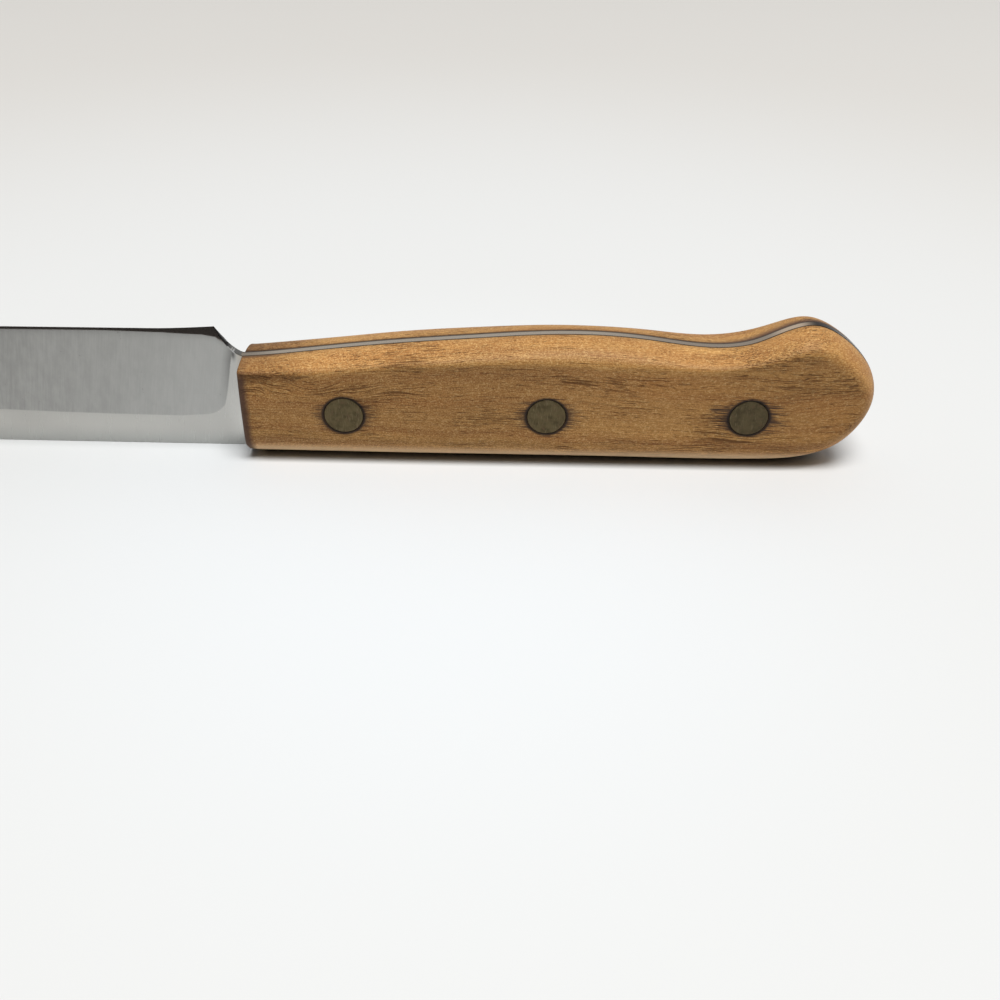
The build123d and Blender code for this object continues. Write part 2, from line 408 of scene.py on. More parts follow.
# %% [markdown]
# The rivets pass through the tang, so it has three round holes. Around each one a block of faces is
# left out of both faces of the skin, and a ring of faces leads through the hole. A boolean cut would
# do it too, but it leaves long thin faces, on which the smooth shading shows dents.
# %% Holes in the tang
TANG_BLOCK = 4.0
TANG_BORE = [(2.6, -HALF_STOCK), (2.5, -HALF_STOCK + 0.1), (2.5, HALF_STOCK - 0.1), (2.6, HALF_STOCK)]


def nearest(values, wanted):
    """Number of the value closest to the wanted one."""
    return int(np.argmin(np.abs(values - wanted)))


def block_around(points, centre, half_size, row_limits):
    """Rows and columns of the grid around a rivet, among the rows of one face."""
    first_row, last_row = row_limits
    middle_row = (first_row + last_row) // 2
    columns = [nearest(points[middle_row, :, 0], centre[0] + side * half_size) for side in (-1, 1)]
    heights = points[first_row:last_row, (columns[0] + columns[1]) // 2, 2]
    rows_here = sorted(first_row + nearest(heights, centre[1] + side * half_size) for side in (-1, 1))
    return rows_here, columns


left_out, steel_sheets = [], []
for centre in RIVETS.values():
    near_rows, columns = block_around(steel_skin, centre, TANG_BLOCK, (0, face_rows))
    far_rows = [steel_row_count - 1 - row for row in near_rows][::-1]
    left_out += [(near_rows, columns), (far_rows, columns)]
    steel_sheets.append(bore_sheet(block_border(steel_skin, near_rows, columns),
                                   block_border(steel_skin, far_rows, columns), centre, TANG_BORE))
skin_faces = grid_faces(steel_row_count, steel_column_count, closed_rows=True, left_out=left_out)
steel_sheets.insert(0, (steel_skin.reshape(-1, 3), skin_faces))
point_cap = np.arange(steel_row_count) * steel_column_count
steel = make_piece("blade_and_tang", steel_sheets, caps=[point_cap])

# %% [markdown]
# The finish changes from flat to grind to bevel along lines that are too crisp for a texture. So each
# point of the mesh carries numbers that say how far it belongs to the grind, the bevel and the edges,
# and where shade and a dark reflection are painted on the grind, and the material reads them. Here they
# are worked out from the lines above.
# %% Marks on the steel
BEVEL_END = -65.2
AT_HEEL = HEEL + 0.04
BEVEL_PAST_HEEL = ([HEEL, -66.8, -66.1, BEVEL_END], [2.1, 1.35, 0.55, 0.0])
NEARLY_HALF_STOCK = 0.84
CORNER_SHADE_SPOT = (-64.15, 21.7)
NICK = -64.55


def mark(piece, name, amounts):
    """Store one number for each point of the piece, for its material."""
    layer = piece.data.attributes.new(name, "FLOAT", "POINT")
    layer.data.foreach_set("value", amounts.astype(np.float32))


def points_of(piece):
    """All points of a piece in millimetres."""
    flat = np.empty(3 * len(piece.data.vertices))
    piece.data.vertices.foreach_get("co", flat)
    return flat.reshape(-1, 3) / MM


point_x, point_y, point_z = points_of(steel).T
inside, from_lean = inside_grind(point_x, point_z)
inside = np.where(point_x < HANDLE_FRONT, inside, -1)
mark(steel, "ground", np.clip(0.5 + inside / 0.12, 0, 1))
below_choil = choil_line(point_x) - point_z
in_bevel = np.where(point_x <= AT_HEEL, point_z - edge_line(point_x) + bevel_width(point_x),
                    np.interp(point_x, *BEVEL_PAST_HEEL) - below_choil)
mark(steel, "bevel", np.where(point_x < BEVEL_END, np.clip(0.5 + in_bevel / 0.1, 0, 1), 0))
near_edge = np.abs(point_y) < NEARLY_HALF_STOCK
mark(steel, "tang_edge", (point_x > HANDLE_FRONT - 0.4) & near_edge)
in_choil = (point_x > AT_HEEL) & (point_x < HANDLE_FRONT - 0.3) & (point_z > choil_line(point_x) - 0.12)
mark(steel, "choil", in_choil & near_edge)
# Painted shade in the shoulder's hollow and its top corner, painted dark reflection above the bevel.
painted_shade_on_grind = 0.85 * np.clip(1 - from_lean / 2.4, 0, 1) ** 1.7 * np.clip((point_z - 8) / 12, 0, 1)
painted_dark_above_bevel = 0.35 * np.clip(1 + in_bevel / 2.2, 0, 1) ** 2
painted_corner_shade = 1.25 * np.exp(-((point_x - CORNER_SHADE_SPOT[0]) ** 2 / 0.22 + (point_z - CORNER_SHADE_SPOT[1]) ** 2 / 1.3))
mark(steel, "painted_shade_on_grind", np.maximum(np.maximum(painted_shade_on_grind, painted_dark_above_bevel) * (inside > 0), painted_corner_shade))
on_nick = (np.abs(point_x - NICK) < 0.8) & (np.abs(below_choil - 0.06) < 0.06) & (point_y < -0.7)
mark(steel, "nick", on_nick)
print("marked points:", {name: int(amount.sum()) for name, amount in
                         (("grind", inside > 0), ("choil", in_choil & near_edge), ("nick", on_nick))})

# %% [markdown]
# Each scale was sawn from a board, riveted on and then sanded to shape together with the steel. Its
# side is flat, and its edges are half-ellipses: shallow over most of the top, deep at the belly and
# the butt, very deep along the back. Beside the tang the arris is eased, which leaves a dark line.
# %% Rounded edges
def rounding(line, y, side, power=2.0):
    """Points of the rounded edge over one line at distances y from the middle plane.

    With a power of 2 the edge is half an ellipse that reaches out to side, and a higher power makes it
    squarer: share out**power + share up**power = 1. Also the outward direction, along the line's
    normal and along Y.
    """
    deep = np.linalg.norm(line[:, 2:], axis=1)
    sine = np.minimum(y / side, 1)
    height = (1 - sine**power) ** (1 / power)
    drop = 1 - height
    up, out = side * height ** (power - 1), deep * sine ** (power - 1)
    size = np.hypot(up, out)
    points = np.stack([line[:, 0] - drop * line[:, 2], -side * sine, line[:, 1] - drop * line[:, 3]], axis=2)
    outward = np.stack([line[:, 2] / deep * up, -out, line[:, 3] / deep * up], axis=2) / size[:, :, None]
    return points, outward

# %% [markdown]
# The front of each scale differs from the rest: its top edge has a rounding of its own, the side
# curves in a little towards the top, and the foot is lifted off the table. Every one of these fades
# out over its own length, measured back from the front.
# %% Lines of a scale
FRONT_LENGTH = 22.0
CORNER_LENGTH = 7.0
CROWN = 0.6
CROWN_LENGTH = 40.0
FOOT_RISE = 1.2
FOOT_CORNER = 0.45
FOOT_LENGTH = 3.0


def front_share(x, length):
    """Share from 1 at the front of the handle to 0 at length millimetres behind it."""
    return np.clip(1 - (x - HANDLE_FRONT) / length, 0, 1)


def scale_lines(shares, front_depth, front_power, front_corner):
    """Top and bottom line of one scale with their roundings, the top's power, and the side's crown.

    front_depth is how deep the top edge is rounded near the front, in millimetres, and front_power how
    square it is; some way back both reach the usual values. front_corner is the share of the rounding
    that the last few millimetres lack.
    """
    top, bottom = handle_lines(shares)
    near_front = front_share(top[:, 0], FRONT_LENGTH) ** 1.5
    depth = np.linalg.norm(top[:, 2:], axis=1)
    top[:, 2:] *= (1 + (front_depth / depth - 1) * near_front)[:, None]
    top[:, 2:] *= (1 - front_corner * front_share(top[:, 0], CORNER_LENGTH) ** 1.5)[:, None]
    power = 2.0 + (front_power - 2.0) * near_front
    crown = CROWN * front_share(top[:, 0], CROWN_LENGTH) ** 1.2
    from_front = front_share(bottom[:, 0], FOOT_LENGTH)
    bottom[:, 1] += FOOT_RISE * from_front**2.2
    bottom[:, 2:] *= (1 - FOOT_CORNER * from_front**1.5)[:, None]
    return top, bottom, power, crown

# %% [markdown]
# The section of a scale goes from the tang over the rounded top, down the side, around the rounded
# foot and back up along the tang. Its rows are placed by angle on the roundings, so they lie closest
# where the curve is tightest. Below the table's level the section is cut flat.
# %% Section of a scale
SIDE = HALF_HANDLE
CROWN_SHARE = 0.6
TOP_TURNS = 26
INNER_EASE = [(0.00, 0.30), (0.05, 0.14), (0.14, 0.04), (0.28, 0.00)]
SIDE_ROWS = [0.01, 0.03, 0.08, *np.linspace(0.12, 0.92, 22), 0.97, 0.99]


def scale_skin(shares, front_depth, front_power, front_corner):
    """All points of one scale's skin, row by row around the section, and their outward directions.

    Beside the tang the arris is eased by the steps of INNER_EASE: distance from the tang and drop.
    The last result is the number of rows on the outside; the others run back up along the tang.
    """
    top, bottom, power, crown = scale_lines(shares, front_depth, front_power, front_corner)
    full = np.ones((1, len(shares)))
    turns = np.linspace(np.arcsin((HALF_STOCK + INNER_EASE[-1][0]) / SIDE), pi / 2, TOP_TURNS)[:, None]
    eased_y = np.array([HALF_STOCK + step for step, _ in INNER_EASE[:-1]])[:, None] * full
    eased_drop = np.array([drop for _, drop in INNER_EASE[:-1]])[:, None, None]
    over_top, top_out = rounding(top, (SIDE - crown) * np.sin(turns), SIDE - crown, power)
    over_edge, edge_out = rounding(top, eased_y, SIDE - crown, power)

    deep = np.linalg.norm(bottom[:, 2:], axis=1)
    above_table = 1 - np.clip(-bottom[:, 1], 0, BACK_FLAT_DEPTH) / deep
    flat_turn = np.arcsin(np.maximum(np.sqrt(1 - above_table**2), 0.2))
    low = turns[0] + (flat_turn - turns[0]) * np.linspace(0, 1, 5)[:, None]
    high = flat_turn + (pi / 2 - flat_turn) * np.linspace(0, 1, 22)[1:, None]
    bottom_turns = np.concatenate([low, high])
    bottom_turns = bottom_turns + (turns - bottom_turns) * np.clip(bottom[:, 1] / 3, 0, 1)
    over_bottom, bottom_out = rounding(bottom, SIDE * np.sin(bottom_turns[::-1]), SIDE)
    under_edge, under_out = rounding(bottom, eased_y[::-1], SIDE)

    down = np.array(SIDE_ROWS)[:, None, None]
    side = over_top[-1] + down * (over_bottom[0] - over_top[-1])
    side[:, :, 1] = crown * np.clip(1 - down[:, :, 0] / CROWN_SHARE, 0, 1) ** 2 - SIDE
    side_out = np.zeros_like(side)
    side_out[:, :, 1] = -1
    outer = np.concatenate([over_edge - edge_out * eased_drop, over_top, side, over_bottom,
                            under_edge - under_out * eased_drop[::-1]])
    outward = np.concatenate([edge_out, top_out, side_out, bottom_out, under_out])
    outer[:, :, 2] = np.maximum(outer[:, :, 2], 0)
    inner = outer[-1] + np.linspace(0, 1, 42)[1:-1, None, None] * (outer[0] - outer[-1])
    return np.concatenate([outer, inner]), np.concatenate([outward, np.zeros_like(inner)]), len(outer)

# %% [markdown]
# The front end of a scale has lost its sharp corner to wear, most of all where the side meets it. The
# first columns of the skin are drawn in and set back along a quarter of a circle to give that round.
# %% Front end of a scale
FRONT_ROUND = 0.9
FRONT_EASE = 0.4


def round_front(skin, outward, turns):
    """Round the front end over: each early column shrinks and lies further back along X.

    A column at angle a of the quarter round is smaller by radius * (1 - sin a), measured from the tang
    in Y and from mid-height in Z, and lies radius * (1 - cos a) behind the front.
    """
    side_amount = np.clip(-outward[:, 0, 1], 0, 1) ** 2
    radius = FRONT_EASE + (FRONT_ROUND - FRONT_EASE) * side_amount
    lowest, highest = skin[:, 0, 2].min(), skin[:, 0, 2].max()
    middle = (lowest + highest) / 2
    for column, angle in enumerate(turns):
        less = 1 - np.sin(angle)
        skin[:, column, 1] += (-HALF_STOCK - skin[:, column, 1]) * FRONT_ROUND * less / (SIDE - HALF_STOCK)
        skin[:, column, 2] += (middle - skin[:, column, 2]) * FRONT_EASE * less / (highest - middle)
        skin[:, column, 0] = HANDLE_FRONT + radius * (1 - np.cos(angle))
    skin[:, :, 2] = np.maximum(skin[:, :, 2], 0)

# %% [markdown]
# Each scale has three stepped bores: a seat for the rivet's head and a narrower hole for its shank,
# with a soft rim where the wood was sanded over. The left scale is the same skin mirrored, but its
# front corner is plainly rounded, as the strip of it beyond the tang shows.
# %% Wooden scales
HEAD_BLOCK = 5.0
HEAD_SEAT = [(4.45, -7.8), (4.22, -7.8), (4.10, -7.78), (4.05, -7.7), (4.05, -6.3), (4.0, -6.2), (2.55, -6.2),
             (2.5, -6.15), (2.5, -HALF_STOCK - 0.05), (2.55, -HALF_STOCK)]
TOP_ROWS = len(INNER_EASE) - 1 + TOP_TURNS
FRONT_TURNS = np.radians([0, 15, 30, 45, 60, 75, 90])


def wooden_scale(name, side_sign, front_depth, front_power, front_corner, front_reach):
    """One wooden scale with its rivet bores; its front lies front_reach millimetres further forward."""
    early = FRONT_ROUND * (1 - np.cos(FRONT_TURNS)) / HANDLE_LENGTH
    shares = np.concatenate([early, np.linspace((FRONT_ROUND + 0.2) / HANDLE_LENGTH, 1, 190)])
    skin, outward, outer_rows = scale_skin(shares, front_depth, front_power, front_corner)
    round_front(skin, outward, FRONT_TURNS)
    skin[:, :, 0] -= front_reach * front_share(skin[:, :, 0], CORNER_LENGTH)
    left_out, bores = [], []
    for centre in RIVETS.values():
        side_rows, columns = block_around(skin, centre, HEAD_BLOCK, (TOP_ROWS + 2, outer_rows - 12))
        half_rows = (side_rows[1] - side_rows[0]) // 2
        middle = outer_rows + nearest(skin[outer_rows:, sum(columns) // 2, 2], centre[1])
        inner_rows = [middle - half_rows, middle - half_rows + side_rows[1] - side_rows[0]]
        left_out += [(side_rows, columns), (inner_rows, columns)]
        bores.append(bore_sheet(block_border(skin, side_rows, columns),
                                block_border(skin, inner_rows, columns), centre, HEAD_SEAT))
    row_count, column_count = skin.shape[:2]
    faces = grid_faces(row_count, column_count, closed_rows=True, left_out=left_out)
    mirrored = np.array([1, side_sign, 1])
    sheets = [(points * mirrored, sheet_faces)
              for points, sheet_faces in [(skin.reshape(-1, 3), faces), *bores]]
    scale = make_piece(name, sheets, caps=[np.arange(row_count) * column_count])
    directions = np.empty(3 * len(scale.data.vertices))
    scale.data.vertices.foreach_get("normal", directions)
    mark(scale, "end_grain", np.abs(directions[::3]))
    return scale


right_scale = wooden_scale("right_wooden_scale", 1, front_depth=2.1, front_power=2.8, front_corner=0.6,
                           front_reach=0.2)
left_scale = wooden_scale("left_wooden_scale", -1, front_depth=2.0, front_power=2.0, front_corner=0.0,
                          front_reach=0.0)

# %% [markdown]
# A cutler's rivet has two halves: a post with a head on the right side and a hollow shank with a head
# on the left. Turning a profile around the rivet's axis gives both. The heads were ground flush, so
# their faces are flat with a fine soft rim.
# %% Rivets
POST = [(0, -7.8), (1.8, -7.8), (3.3, -7.8), (3.72, -7.795), (3.86, -7.77), (3.93, -7.72), (3.95, -7.62),
        (3.95, -6.3), (3.85, -6.2), (1.6, -6.2), (1.6, 3.6), (1.4, 3.8), (0, 3.8)]
SOCKET = [(0, 7.8), (1.8, 7.8), (3.3, 7.8), (3.72, 7.795), (3.86, 7.77), (3.93, 7.72), (3.95, 7.62),
          (3.95, 6.3), (3.85, 6.2), (2.4, 6.2), (2.4, -4.1), (2.3, -4.2), (1.7, -4.2), (1.61, -4.1),
          (1.61, 4.8), (0, 4.8)]


def turned(name, centre, profile, count=72):
    """Piece turned from a profile of radius and y around the rivet's axis.

    A point at angle a lies radius * cos a from the axis along X and radius * sin a along Z.
    """
    angle = np.linspace(0, 2 * pi, count + 1)[None]
    radius, y = np.array(profile).T[:, :, None]
    points = np.stack([centre[0] + radius * np.cos(angle), y + 0 * angle,
                       centre[1] + radius * np.sin(angle)], axis=2)
    return make_piece(name, [(points.reshape(-1, 3), grid_faces(len(profile), count + 1))], sharp=50)


rivets = {}
for place, centre in RIVETS.items():
    rivets[f"{place}_rivet_post"] = turned(f"{place}_post", centre, POST)
    rivets[f"{place}_rivet_socket"] = turned(f"{place}_socket", centre, SOCKET)

# %% [markdown]
# A finish is a graph of shader nodes. This helper adds a node, sets its plain values and joins the
# ones that come from other nodes.
# %% Shader node
def add_node(tree, kind, inputs=None, **settings):
    """New node; an input is a plain value or another node's output."""
    node = tree.nodes.new(kind)
    for name, value in settings.items():
        setattr(node, name, value)
    for name, value in (inputs or {}).items():
        if isinstance(value, bpy.types.NodeSocket):
            tree.links.new(value, node.inputs[name])
        else:
            node.inputs[name].default_value = value
    return node

# %% [markdown]
# With one method for each kind of step, the recipes further down read like short formulas. Textures
# take their place from the object itself, in millimetres, so their scales are sizes on the knife.
# %% Finish
class Finish:
    """One procedural material, with all its textures in millimetres of the object itself."""

    def __init__(self, name):
        self.material = bpy.data.materials.new(name)
        self.material.use_nodes = True
        self.tree = self.material.node_tree
        self.shader = self.tree.nodes["Principled BSDF"]
        metres = self.add("ShaderNodeTexCoord").outputs["Object"]
        scaled = self.add("ShaderNodeVectorMath", {0: metres, "Scale": 1 / MM}, operation="SCALE")
        self.place = scaled.outputs[0]
        parts = self.add("ShaderNodeSeparateXYZ", {0: self.place})
        self.x, self.y, self.z = parts.outputs

    def add(self, kind, inputs=None, **settings):
        """New node of this finish."""
        return add_node(self.tree, kind, inputs, **settings)

    def math(self, operation, *values):
        """One arithmetic step."""
        return self.add("ShaderNodeMath", dict(enumerate(values)), operation=operation).outputs[0]

    def stretch(self, vector, scale):
        """Texture space with its own scale along each axis, per millimetre."""
        return self.add("ShaderNodeVectorMath", {0: vector, 1: scale}, operation="MULTIPLY").outputs[0]

    def noise(self, vector, scale, detail=2.0, roughness=0.5, distortion=0.0):
        """Smooth noise from 0 to 1."""
        inputs = {"Vector": self.stretch(vector, scale), "Scale": 1.0, "Detail": detail,
                  "Roughness": roughness, "Distortion": distortion}
        return self.add("ShaderNodeTexNoise", inputs).outputs["Fac"]

    def ramp(self, value, low, high, start=0.0, end=1.0, smooth=True):
        """Value that goes from start to end while the input goes from low to high."""
        kind = "SMOOTHSTEP" if smooth else "LINEAR"
        inputs = {"Value": value, "From Min": low, "From Max": high, "To Min": start, "To Max": end}
        return self.add("ShaderNodeMapRange", inputs, interpolation_type=kind).outputs[0]

    def mix(self, share, first, second, blend="MIX"):
        """Blend of two colours."""
        first, second = [(*c, 1) if isinstance(c, tuple) and len(c) == 3 else c for c in (first, second)]
        node = self.add("ShaderNodeMix", {0: share, 6: first, 7: second}, data_type="RGBA", blend_type=blend)
        return node.outputs[2]

    def attribute(self, name):
        """Number stored on the mesh's points."""
        return self.add("ShaderNodeAttribute", attribute_name=name).outputs["Fac"]

    def distance(self, centre, stretch_x=1.0):
        """Distance in the side view from a rivet's axis, shortened along the grain."""
        away_x = self.math("MULTIPLY", self.math("SUBTRACT", self.x, centre[0]), stretch_x)
        away_z = self.math("SUBTRACT", self.z, centre[1])
        squares = self.math("ADD", self.math("POWER", away_x, 2), self.math("POWER", away_z, 2))
        return self.math("SQRT", squares)

    def finish(self, color, roughness, height, depth_mm, specular=0.5, metallic=0.0):
        """Join the results to the shader; the height field is depth_mm deep."""
        bump = self.add("ShaderNodeBump", {"Height": height, "Distance": depth_mm * MM, "Strength": 1.0})
        self.tree.links.new(color, self.shader.inputs["Base Color"])
        self.tree.links.new(roughness, self.shader.inputs["Roughness"])
        self.tree.links.new(bump.outputs[0], self.shader.inputs["Normal"])
        self.shader.inputs["Specular IOR Level"].default_value = specular
        self.shader.inputs["Metallic"].default_value = metallic
        print(self.material.name, "has", len(self.tree.nodes), "nodes")
        return self.material

# %% [markdown]
# The wood is an open-pored brown hardwood, and all its patterns run along the grain. So the grain
# comes first: a texture space that is stretched along X, wanders a little, and turns down where a
# small curl lies near the front of the handle.
# %% Grain of the wood
CURL = (-54.0, 18.5)


def grain_space(w):
    """Place along the grain: x and y as they are, and z shifted by a slow drift, a ripple and the curl.

    Also how strong the curl is at each place, from 0 to 1.
    """
    drift = w.noise(w.place, (0.018, 0.05, 0.06), detail=2)
    curl = w.ramp(w.distance(CURL, 0.36), 0.5, 5.0, 1.0, 0.0)
    turned_down = w.math("MULTIPLY", w.math("MULTIPLY", w.math("SUBTRACT", w.x, CURL[0]), 0.42), curl)
    ripple = w.math("MULTIPLY", w.math("SUBTRACT", w.noise(w.place, (0.22, 0.15, 0.25), 1), 0.5),
                    w.ramp(curl, 0, 1, 0.35, 2.4))
    shift = w.math("ADD", w.math("MULTIPLY", w.math("SUBTRACT", drift, 0.5), 9.0),
                   w.math("ADD", turned_down, ripple))
    grain = w.add("ShaderNodeCombineXYZ", {0: w.x, 1: w.y, 2: w.math("ADD", w.z, shift)}).outputs[0]
    return grain, curl

# %% [markdown]
# The colour drifts in broad bands along the board and is redder in places. Fine fibres streak it, and
# light and dark specks of two sizes give the roughness that sanding left.
# %% Colour of the wood
LIGHT_SPECK = (1.0, 0.68, 0.30)
DARK_SPECK = (0.32, 0.145, 0.045)
LIGHT_DUST = (0.96, 0.64, 0.27)
DARK_DUST = (0.30, 0.135, 0.045)


def board_color(w, grain):
    """Colour of the bare board. Also its fibres and specks, which the relief takes up again."""
    bands = w.noise(grain, (0.006, 0.16, 0.34), detail=3, roughness=0.55)
    color = w.mix(w.ramp(bands, 0.3, 0.7), (0.54, 0.256, 0.081), (0.75, 0.414, 0.132))
    warm = w.noise(w.place, (0.03, 0.10, 0.12), detail=2)
    color = w.mix(w.ramp(warm, 0.4, 0.75, 0.0, 0.35), color, (0.82, 0.375, 0.100))
    fibres = w.noise(grain, (0.08, 3.6, 4.6), detail=3, roughness=0.65)
    streaked = w.mix(1.0, color, (0.56, 0.47, 0.40), "MULTIPLY")
    color = w.mix(w.ramp(fibres, 0.30, 0.72, 0.75, 0.0), color, streaked)
    speckle = w.noise(grain, (1.5, 3.0, 3.4), detail=2, roughness=0.85)
    color = w.mix(w.ramp(speckle, 0.5, 0.72, 0.0, 0.54), color, LIGHT_SPECK)
    color = w.mix(w.ramp(speckle, 0.5, 0.28, 0.0, 0.62), color, DARK_SPECK)
    dust = w.noise(w.place, (3.4, 4.5, 4.5), detail=1, roughness=0.6)
    dusty = w.ramp(w.x, -20, 45, 1.0, 0.45)
    color = w.mix(w.math("MULTIPLY", w.ramp(dust, 0.5, 0.72, 0.0, 0.50), dusty), color, LIGHT_DUST)
    color = w.mix(w.math("MULTIPLY", w.ramp(dust, 0.5, 0.28, 0.0, 0.60), dusty), color, DARK_DUST)
    return color, fibres, speckle

# %% [markdown]
# Cut pores lie on the wood as short dark dashes. Three noises of different length, all stretched along
# the grain, are cut off at a limit, and what stands above it is a pore. The limit is lower where pores
# crowd: in slow patches, towards the butt and in the curl.
# %% Pores of the wood
PORE_LAYERS = [((0.09, 4.2, 5.0), 0.72, 0.585, 0.04), ((0.20, 6.0, 7.2), 0.71, 0.59, 0.05),
               ((0.50, 6.5, 8.0), 0.69, 0.60, 0.06)]


def pore_marks(w, grain, curl, end_grain):
    """Darkness of the pores from 0 to 1: where a layer's noise stands above its limit.

    A layer is its noise's scale, its highest and lowest limit and the width of its soft border. On
    the end grain the pores are fainter.
    """
    patches = w.noise(w.place, (0.05, 0.12, 0.16), detail=2)
    crowding = w.math("ADD", patches, w.math("MULTIPLY", curl, 0.28))
    crowding = w.math("ADD", crowding, w.ramp(w.x, -10, 45, -0.05, 0.035))
    pores = 0.0
    for scale, highest, lowest, width in PORE_LAYERS:
        dashes = w.noise(grain, scale, detail=1.5, roughness=0.5)
        limit = w.ramp(crowding, 0.36, 0.66, highest, lowest)
        pores = w.math("MAXIMUM", pores, w.ramp(w.math("SUBTRACT", dashes, limit), 0.0, width))
    return w.math("MULTIPLY", pores, w.ramp(end_grain, 0.15, 0.5, 1.0, 0.35))

# %% [markdown]
# Around the rivets the metal has stained the wood. The stain reaches out along the grain in streaks,
# most at the rear rivet, and a black ring marks the gap between head and wood.
# %% Stains round the rivets
STAINS = {"front": (0.75, 1.6), "middle": (0.9, 2.2), "rear": (1.0, 3.0)}


def stained(w, color, grain):
    """Colour with a stain round each rivet, of the strength and reach in STAINS."""
    streaks = w.noise(grain, (0.16, 4.0, 5.2), detail=2, roughness=0.6)
    for place, (strength, reach) in STAINS.items():
        far = w.math("SUBTRACT", w.distance(RIVETS[place], 0.62), w.ramp(streaks, 0.42, 0.72, 0.0, reach))
        stain = w.ramp(far, HEAD_RADIUS - 1.5, HEAD_RADIUS - 0.2, 0.9 * strength, 0.0)
        color = w.mix(stain, color, (0.060, 0.036, 0.028))
        rim = w.ramp(w.distance(RIVETS[place]), HEAD_RADIUS + 0.2, HEAD_RADIUS + 0.9, 0.95, 0.0)
        color = w.mix(rim, color, (0.022, 0.016, 0.014))
    return color

# %% [markdown]
# Grime has packed into the joint beside the steel. Near the front the wood beside it is darker, partly
# grime and partly painted shade on the eased edge, and at the butt it is darker on the far side. The
# end grain is darker, partly grime that it soaked up and partly painted shade on the end faces.
# %% Grime on the wood
def grimy(w, color, end_grain):
    """Colour with grime and painted shade beside the steel and on the end grain, darker at the front and
    butt.
    """
    joint = w.math("MINIMUM", w.ramp(w.y, 1.05, 1.5, 0.85, 0.0), w.ramp(w.y, -1.0, -1.2, 0.8, 0.0))
    # Partly grime, partly painted shade: darker beside the steel near the front, on the eased edge.
    grime_and_shade_at_front = w.math("MULTIPLY", w.ramp(w.y, -1.3, -2.3, 0.65, 0.0),
                    w.ramp(w.x, HANDLE_FRONT + 14, HANDLE_FRONT + 4))
    color = w.mix(w.math("MULTIPLY", grime_and_shade_at_front, w.ramp(w.y, 1.0, 0.0)), color, (0.15, 0.085, 0.055))
    color = w.mix(joint, color, (0.050, 0.036, 0.028))
    color = w.mix(w.ramp(w.math("ABSOLUTE", w.y), 1.0, 2.6, 0.30, 0.0), color, (0.16, 0.085, 0.04))
    at_butt = w.math("MULTIPLY", w.ramp(w.y, 1.0, 3.4, 1.0, 0.0), w.ramp(w.x, 25, 48, 0.0, 0.8))
    color = w.mix(w.math("MULTIPLY", at_butt, w.ramp(w.y, 0.2, 0.6)), color, (0.13, 0.075, 0.055))
    # Partly grime, partly painted shade: the end faces are darker, nearly black where they face along X.
    color = w.mix(w.ramp(end_grain, 0.15, 0.80, 0.0, 0.20), color, (0.31, 0.145, 0.060))
    return w.mix(w.ramp(end_grain, 0.86, 0.99, 0.0, 0.60), color, (0.10, 0.052, 0.034))

# %% [markdown]
# Painted shade darkens the wood along the top near the front and on the top of the far side, and on
# the flat of the sides except around x = 18 mm. The middle of the top is a little darker as well. The
# front edge carries painted shade and is nearly black.
# %% Wear of the wood
PAINTED_SHADE_FACTOR = (0.30, 0.27, 0.27)
PALE_PATCH_X = 18.0


def painted_shade_on_wood(w, color):
    """Colour darkened by a painted shade factor to the share of painted shade at each place, then the dark
    front.
    """
    from_steel = w.math("ABSOLUTE", w.y)
    # Painted shade: darker along the top near the front and on the far side, and on the flat of the sides.
    shade_share = w.math("ADD", w.ramp(w.x, -61, -42, 0.60, 0.0), w.ramp(w.y, 0.5, 1.0, 0.0, 0.22))
    shade_share = w.math("MULTIPLY", shade_share, w.ramp(w.z, 18.0, 20.0))
    side_shade = w.math("MULTIPLY", w.ramp(from_steel, 6.6, 7.6, 0.0, 0.36), w.ramp(w.z, 3.0, 6.0))
    from_pale_patch = w.math("ABSOLUTE", w.math("SUBTRACT", w.x, PALE_PATCH_X))
    shade_share = w.math("ADD", shade_share, w.math("MULTIPLY", side_shade, w.ramp(from_pale_patch, 8, 26, 0.62, 1.0)))
    top_middle = w.ramp(w.math("ABSOLUTE", w.x), 10, 34, 0.11, 0.0)
    shade_share = w.math("ADD", shade_share, w.math("MULTIPLY", top_middle, w.ramp(from_steel, 7.4, 6.4)))
    color = w.mix(shade_share, color, w.mix(1.0, color, PAINTED_SHADE_FACTOR, "MULTIPLY"))
    # Painted shade: the front edge, painted nearly black.
    front = w.math("SUBTRACT", 1.0, w.ramp(w.x, HANDLE_FRONT + 0.7, HANDLE_FRONT + 2.2))
    front = w.math("MULTIPLY", front, w.ramp(w.z, 19.0, 21.2, 0.90, 0.25))
    return w.mix(front, color, (0.085, 0.045, 0.032))

# %% [markdown]
# All of it together, one layer over the other: board, pores, painted bounce light on the foot, stains,
# grime and painted shade. The relief is shallow, because the wood was sanded and oiled.
# %% Finish of the wood
RELIEF_DEPTH = 0.09


